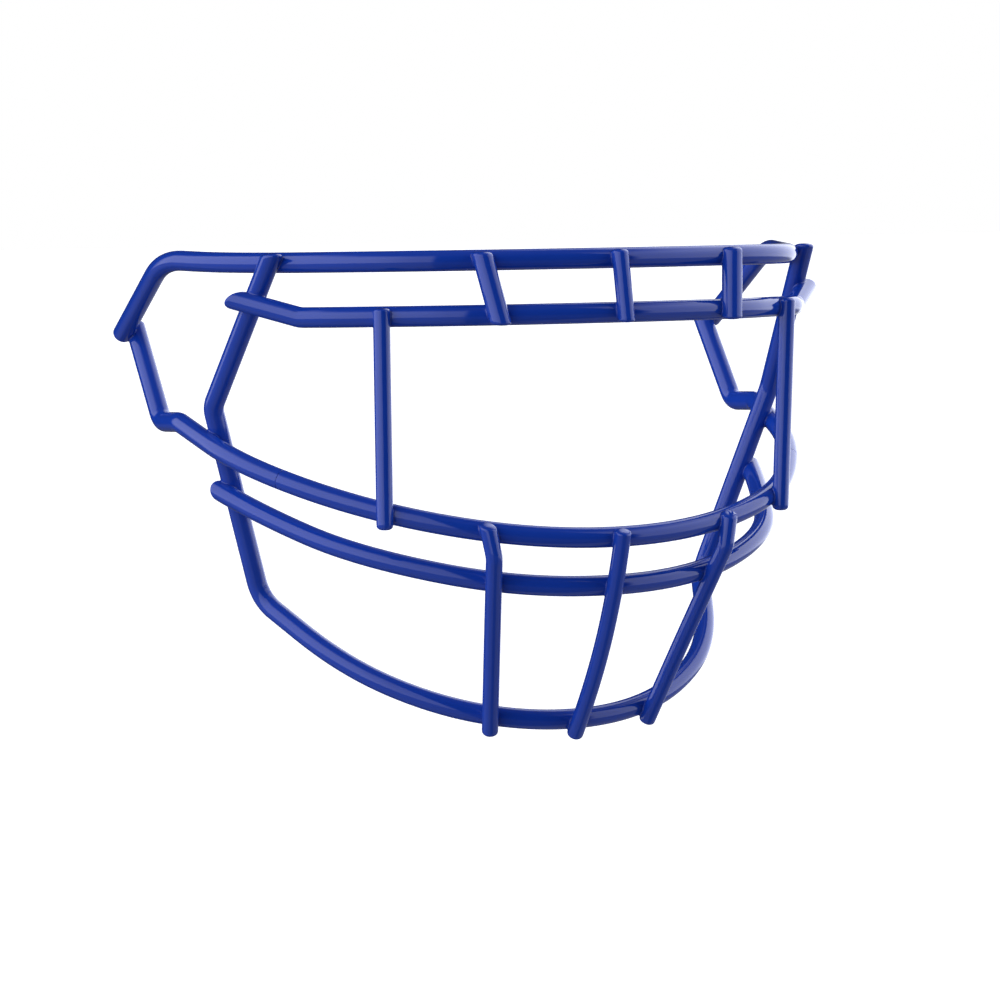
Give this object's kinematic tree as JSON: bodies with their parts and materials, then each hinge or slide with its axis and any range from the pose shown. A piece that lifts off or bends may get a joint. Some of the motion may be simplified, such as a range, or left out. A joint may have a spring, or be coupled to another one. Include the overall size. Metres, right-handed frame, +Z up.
{
  "type": "football helmet facemask",
  "caption": "Welded wire facemask with a brow bar, an eye opening, jaw and mouth bars and a chin hoop, in a glossy blue coating, for the front of a football helmet.",
  "frame": {"origin": "middle of the brow bar, on the wire's centreline, where the mask meets the front of the helmet's shell", "axes": "+X to the wearer's left, -Y forward out of the face, +Z up"},
  "size_m": [0.2324, 0.1552, 0.1615],
  "materials": {
    "main_wire_coating": "glossy royal blue polymer coating over bent steel wire",
    "strut_coating": "the same glossy blue coating over thinner wire",
    "weld_coating": "the same blue coating gathered in the crook of a weld"
  },
  "bodies": {
    "root": {"brow_bar": "main_wire_coating", "visor_bar": "main_wire_coating", "jaw_bar": "main_wire_coating", "side_frame_left": "main_wire_coating", "side_frame_right": "main_wire_coating", "mouth_bar": "main_wire_coating", "chin_hoop": "main_wire_coating", "brow_strut_left": "main_wire_coating", "brow_strut_centre": "strut_coating", "brow_strut_right": "main_wire_coating", "cheek_strut_left": "strut_coating", "cheek_strut_right": "strut_coating", "chin_strut_left": "strut_coating", "chin_strut_centre": "strut_coating", "chin_strut_right": "strut_coating", "weld_brow_bar_chin_hoop_left": "weld_coating", "weld_brow_bar_chin_hoop_right": "weld_coating", "weld_side_frame_brow_bar_left": "weld_coating", "weld_side_frame_brow_bar_right": "weld_coating", "weld_chin_hoop_visor_bar_left": "weld_coating", "weld_chin_hoop_visor_bar_right": "weld_coating", "weld_chin_hoop_side_frame_left": "weld_coating", "weld_chin_hoop_side_frame_right": "weld_coating", "weld_chin_hoop_mouth_bar_left": "weld_coating", "weld_chin_hoop_mouth_bar_right": "weld_coating", "weld_visor_bar_cheek_strut_left": "weld_coating", "weld_visor_bar_cheek_strut_right": "weld_coating", "weld_jaw_bar_cheek_strut_left": "weld_coating", "weld_jaw_bar_cheek_strut_right": "weld_coating", "weld_brow_bar_brow_strut_left": "weld_coating", "weld_brow_bar_brow_strut_centre": "weld_coating", "weld_brow_bar_brow_strut_right": "weld_coating", "weld_visor_bar_brow_strut_left": "weld_coating", "weld_visor_bar_brow_strut_centre": "weld_coating", "weld_visor_bar_brow_strut_right": "weld_coating", "weld_jaw_bar_chin_strut_left": "weld_coating", "weld_jaw_bar_chin_strut_centre": "weld_coating", "weld_jaw_bar_chin_strut_right": "weld_coating", "weld_mouth_bar_chin_strut_left": "weld_coating", "weld_mouth_bar_chin_strut_centre": "weld_coating", "weld_mouth_bar_chin_strut_right": "weld_coating", "weld_chin_hoop_chin_strut_left": "weld_coating", "weld_chin_hoop_chin_strut_centre": "weld_coating", "weld_chin_hoop_chin_strut_right": "weld_coating", "butt_weld_left": "weld_coating", "butt_weld_right": "weld_coating"}
  },
  "joints": []
}
